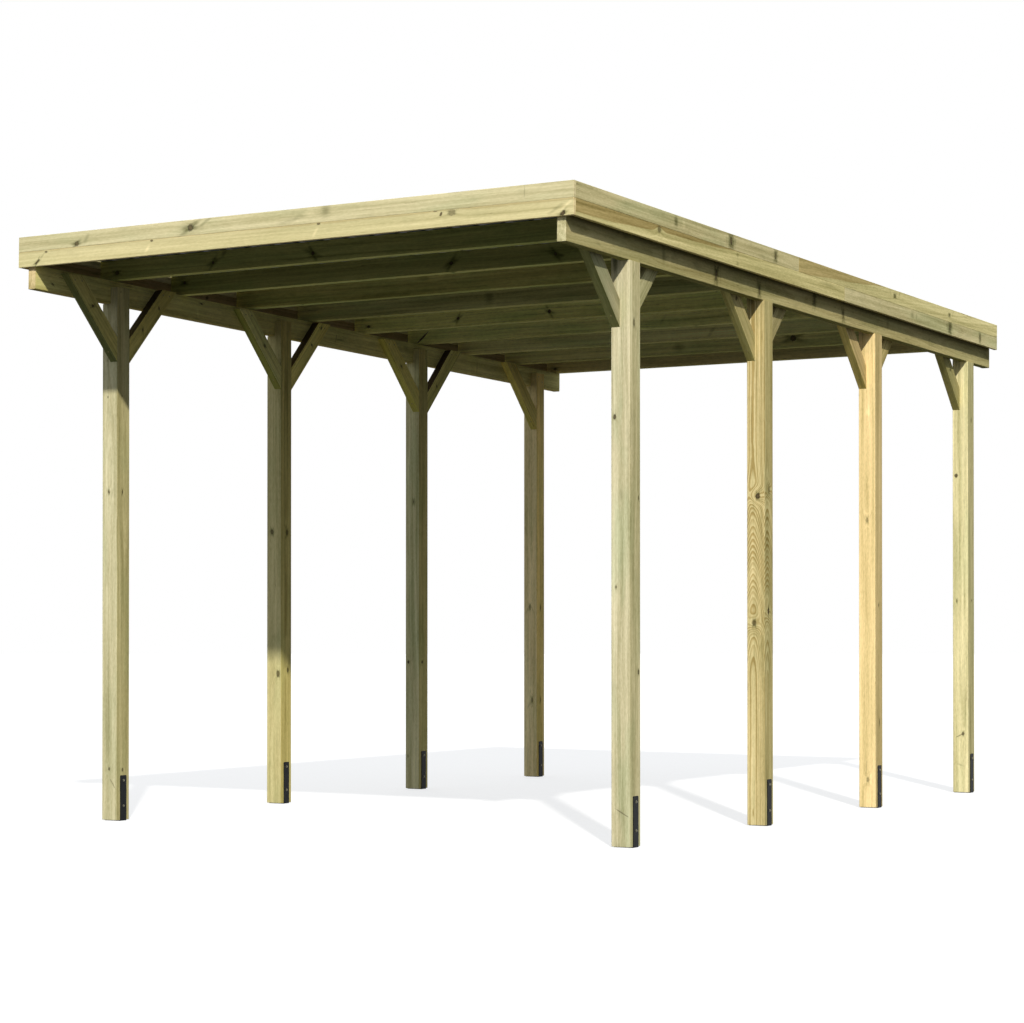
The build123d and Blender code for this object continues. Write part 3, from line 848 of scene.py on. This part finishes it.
def sheet_look():
    """Polyester-coated steel sheet, with runs of dust and rain marks down the slope."""
    mat, t, shader = new_material("anthracite_sheet")
    x, y, z = t.xyz(t.node("ShaderNodeTexCoord").outputs["Object"])
    runs = t.noise(t.join(t.times(x, 38.0), t.times(y, 0.9), 0.0), 4.0, 0.6)["Fac"]
    cloud = t.noise(t.join(t.times(x, 2.2), t.times(y, 2.2), 0.0), 3.0, 0.5)["Fac"]
    speck = t.noise(t.join(t.times(x, 420.0), t.times(y, 420.0), t.times(z, 420.0)), 2.0, 0.6)["Fac"]
    colour = t.mix(cloud, linear(50, 55, 59), linear(62, 67, 71))
    dust = t.times(t.fit(runs, 0.45, 0.8), t.fit(cloud, 0.3, 0.7, 0.4, 1.0), 0.5)
    colour = t.mix(dust, colour, linear(96, 98, 94))
    colour = t.mix(t.times(t.fit(speck, 0.62, 0.75), 0.4), colour, linear(84, 88, 90))
    t.feed(shader.inputs["Base Color"], colour)
    t.feed(shader.inputs["Roughness"], t.add(0.40, t.times(dust, 0.35), t.swing(speck, 0.12)))
    t.bump(shader, speck, 0.25, 0.0002)
    return mat


sheet_coat = sheet_look()
for node, obj in nodes.items():
    for start, mat in (("post_shoe_", black_coat), ("roof_sheet_", sheet_coat)):
        if node.startswith(start):
            obj.data.materials.clear()
            obj.data.materials.append(mat)

# ------------------------------------------------------------------- fixings

SHOE_BOLT = dict(flats=0.008, height=0.0038, washer=0.0066, thick=0.0012)
SHOE_BOLT_HEIGHTS = (0.071, 0.192)
ROOF_SCREW = dict(flats=0.008, height=0.0048, washer=0.0072, thick=0.0022, washer_material=1)
HEX_TURN = 0.3
SCREW_RADIUS = 0.004
HEAD_SCREWS = (0.28, 0.72)  # places across a brace's head
HEAD_SCREW_INSET = 0.034  # from the head's edge, along the brace
FOOT_SCREW_INSET = 0.06
TONGUE_SCREWS = ((-0.02, 0.022), (0.02, 0.052))  # across the tongue, and down from its top
CREST_DEPTH = 0.002  # points this near a sheet's top are on a crest
CREST_GAP = 0.04  # more than this between two points, and a new crest starts
SAME_RIB = 0.01  # crests this close belong to two lapped sheets
rng = random.Random(41)


def rings_to_mesh(bm, rings, material):
    """Skins a stack of rings of (x, y, z) points and closes the last one."""
    loops = [[bm.verts.new(p) for p in ring] for ring in rings]
    faces = []
    for a, b in zip(loops, loops[1:]):
        for i in range(len(a)):
            j = (i + 1) % len(a)
            faces.append(bm.faces.new((a[i], a[j], b[j], b[i])))
    faces.append(bm.faces.new(loops[-1]))
    for face in faces:
        face.material_index = material


def circle(radius, z, count=20, turn=0.0):
    step = 2 * math.pi / count
    return [(radius * math.cos(turn + step * i), radius * math.sin(turn + step * i), z) for i in range(count)]


def add_hex_head(bm, place, flats, height, washer, thick, washer_material=0):
    """A hexagon head on a round washer, standing on the plane z = 0 of its place. flats is its
    width across flats, washer the washer's radius and thick the washer's thickness."""
    part = bmesh.new()
    ease = min(0.0006, thick * 0.3)
    rings = [circle(washer, 0.0), circle(washer, thick - ease), circle(washer - ease, thick)]
    rings_to_mesh(part, rings, washer_material)
    shape = ((1.0, 0.0), (1.0, 0.82), (0.94, 0.94), (0.80, 1.0))  # shares of radius and height
    rings = [circle(flats / math.sqrt(3) * r, thick + height * h, 6, HEX_TURN) for r, h in shape]
    rings_to_mesh(part, rings, 0)
    append(bm, part, place)


def add_screw_head(bm, place):
    """A sunk screw's head, a shade above the wood, with its star recess."""
    part = bmesh.new()
    radius, count = SCREW_RADIUS, 24
    star = []
    for i in range(count):
        angle = 2 * math.pi * i / count
        reach = radius * (0.36 + 0.10 * math.cos(6 * angle))
        star.append((reach * math.cos(angle), reach * math.sin(angle)))
    rings = [circle(radius, 0.0, count), circle(radius, 0.0003, count),
             circle(radius * 0.93, 0.0006, count),
             [(x, y, 0.0006) for x, y in star], [(x, y, 0.0001) for x, y in star]]
    rings_to_mesh(part, rings, 0)
    append(bm, part, place)


def append(bm, part, place):
    part.transform(place)
    mesh = to_mesh("part", part)
    bm.from_mesh(mesh)
    bpy.data.meshes.remove(mesh)


def stand(point, outwards):
    """The place of a fixing that stands on a face, with a turn of its own."""
    turn = rng.uniform(0, 1)
    tilt = Vector(outwards).to_track_quat("Z", "Y").to_matrix().to_4x4()
    return Matrix.Translation(point) @ tilt @ Matrix.Rotation(turn, 4, "Z")


def put_fixings(name, bm, materials, slot):
    bmesh.ops.recalc_face_normals(bm, faces=bm.faces)
    mesh = to_mesh(name, bm)
    for mat in materials:
        mesh.materials.append(mat)
    smooth(mesh, 32)
    obj = add_object(name, mesh)
    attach(obj, "root")


for side, sign in SIDES:
    for i in range(1, 5):
        low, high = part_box(f"post_shoe_{side}_{i}")
        bm = bmesh.new()
        for height in SHOE_BOLT_HEIGHTS:
            for x, way in ((low.x, -1), (high.x, 1)):
                point = (x, (low.y + high.y) / 2, height)
                add_hex_head(bm, stand(point, (way, 0, 0)), **SHOE_BOLT)
        put_fixings(f"shoe_bolts_{side}_{i}", bm, [zinc], "shoe_steel")

# screws: brace heads into the purlins, brace feet into the posts, tongues into the purlins
for side, sign in SIDES:
    bm = bmesh.new()
    for row, x0, x1, far, near, foot, way, along in brace_screws:
        if row != side:
            continue
        face = x0 if sign > 0 else x1
        for k in HEAD_SCREWS:
            y = near[0] + (far[0] - near[0]) * k - along.y * HEAD_SCREW_INSET
            z = near[1] - along.z * HEAD_SCREW_INSET
            add_screw_head(bm, stand((face, y, z), (-sign, 0, 0)))
        under = Vector((0, way * along.z, -abs(along.y)))
        point = Vector(((x0 + x1) / 2, *foot)) + along * FOOT_SCREW_INSET
        add_screw_head(bm, stand(point, under))
    for i in range(1, 5):
        low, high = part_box(f"post_{side}_{i}")
        face = low.x if sign > 0 else high.x
        middle = (low.y + high.y) / 2
        for dy, down in TONGUE_SCREWS:
            point = (face, middle + dy, high.z - down)
            add_screw_head(bm, stand(point, (-sign, 0, 0)))
    put_fixings(f"frame_screws_{side}", bm, [bronze], "shoe_steel")


def crests_of(points):
    """Middle and height of each rib's crest on a roof sheet, from one side to the other."""
    top = span(points, ROOF)[2][1]
    upper = sorted((p for p in points if p.dot(NORMAL) > top - CREST_DEPTH), key=lambda p: p.x)
    groups = [upper[:1]]
    for p, q in zip(upper, upper[1:]):
        if q.x - p.x > CREST_GAP:
            groups.append([])
        groups[-1].append(q)
    return [((g[0].x + g[-1].x) / 2, max(p.dot(NORMAL) for p in g)) for g in groups]


# roof screws: on every other rib over each rafter, and on both laps
crests = {}
for node in ("roof_sheet_1", "roof_sheet_2", "roof_sheet_3"):
    for middle, top in crests_of(islands(node)[0]):
        key = min(crests, key=lambda c: abs(c - middle), default=None)
        if key is None or abs(key - middle) > SAME_RIB:
            crests[middle] = [top, 1]
        else:
            crests[key] = [max(crests[key][0], top), 2]
bm = bmesh.new()
for number in range(1, 11):
    s0, s1 = span(islands(f"rafter_{number}")[0], ROOF)[1]
    for i, x in enumerate(sorted(crests)):
        top, sheets = crests[x]
        if i % 2 == 0 or sheets == 2:
            place = (s0 + s1) / 2 + rng.uniform(-0.003, 0.003)
            point = ACROSS * x + DOWN * place + NORMAL * top
            add_hex_head(bm, stand(point, NORMAL), **ROOF_SCREW)
put_fixings("roof_screws", bm, [sheet_coat, rubber], "roof_steel")

# ------------------------------------------------------------ camera, light

WHITE = (1.0, 1.0, 1.0)
SKY = (0.85, 0.915, 1.0)
SKY_STRENGTH = 0.62
FLOOR_TO_OBJECT = (0.05, 0.05, 0.05)  # the floor's grey for light on its way to the object
FLOOR_TO_CAMERA = (0.30, 0.30, 0.30)  # its grey for the camera, and how much it glows there
FLOOR_GLOW = 0.72
FLOOR_RADIUS = 60.0
LOOKS_UP = 0.0089445  # radians above the horizon
LOOKS_LEFT = 0.5418135  # radians, from straight along the carport

camera = add_object("camera", bpy.data.cameras.new("camera"))
camera.location = (6.4051, -11.0973, 0.9489)
camera.rotation_euler = (math.radians(90) + LOOKS_UP, 0.0, LOOKS_LEFT)
set_all(camera.data, sensor_width=36.0, lens=88.074, shift_y=0.08526, clip_start=0.1, clip_end=200.0)
scene.camera = camera


def add_sun(name, comes_from, energy, colour, angle):
    lamp = add_object(name, bpy.data.lights.new(name, "SUN"))
    lamp.rotation_mode = "QUATERNION"
    lamp.rotation_quaternion = Vector(comes_from).to_track_quat("Z", "Y")
    set_all(lamp.data, energy=energy, color=colour, angle=math.radians(angle))


add_sun("key", (0.4727, -0.6319, 0.6142), energy=3.72, colour=(1.0, 0.975, 0.92), angle=1.5)
add_sun("fill", (-0.5, 0.7, 0.35), energy=0.9, colour=(0.95, 0.98, 1.0), angle=50.0)

# light that comes up from the ground under the roof
up_light = add_object("ground_light", bpy.data.lights.new("ground_light", "AREA"))
up_light.location = (0.0, 0.0, 0.002)
up_light.rotation_euler = (math.pi, 0.0, 0.0)
set_all(up_light.data, shape="RECTANGLE", size=4.2, size_y=6.4, energy=6.0,
        color=(1.0, 0.98, 0.90), spread=math.radians(40))
up_light.visible_camera = False
up_light.visible_glossy = False


def seen_by(t):
    """1 for camera, glossy and transmission rays."""
    path = t.node("ShaderNodeLightPath").outputs
    some = t.math("MAXIMUM", path["Is Glossy Ray"], path["Is Transmission Ray"])
    return t.math("MAXIMUM", path["Is Camera Ray"], some)


world = bpy.data.worlds.new("world")
scene.world = world
t = own_tree(world)
out = t.node("ShaderNodeOutputWorld")
soft = t.plain("ShaderNodeBackground", SKY, SKY_STRENGTH)
white = t.plain("ShaderNodeBackground", WHITE, 1.0)
t.feed(out.inputs["Surface"], t.mix_shaders(seen_by(t), soft, white))

# the floor shows white with a shadow, sends little light back up, and is clear from below
floor_mat = bpy.data.materials.new("pale_floor")
t = own_tree(floor_mat)
out = t.node("ShaderNodeOutputMaterial")
dim = t.plain("ShaderNodeBsdfDiffuse", FLOOR_TO_OBJECT)
shown = t.node("ShaderNodeAddShader")
t.feed(shown.inputs[0], t.plain("ShaderNodeBsdfDiffuse", FLOOR_TO_CAMERA))
t.feed(shown.inputs[1], t.plain("ShaderNodeEmission", WHITE, FLOOR_GLOW))
both = t.mix_shaders(seen_by(t), dim, shown.outputs[0])
below = t.node("ShaderNodeNewGeometry").outputs["Backfacing"]
clear = t.node("ShaderNodeBsdfTransparent").outputs[0]
t.feed(out.inputs["Surface"], t.mix_shaders(below, both, clear))
bm = bmesh.new()
bmesh.ops.create_circle(bm, cap_ends=True, segments=96, radius=FLOOR_RADIUS)
floor_mesh = to_mesh("floor", bm)
floor_mesh.materials.append(floor_mat)
floor = add_object("floor", floor_mesh)
floor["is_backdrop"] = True

scene.view_settings.view_transform = "Standard"

low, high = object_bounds()
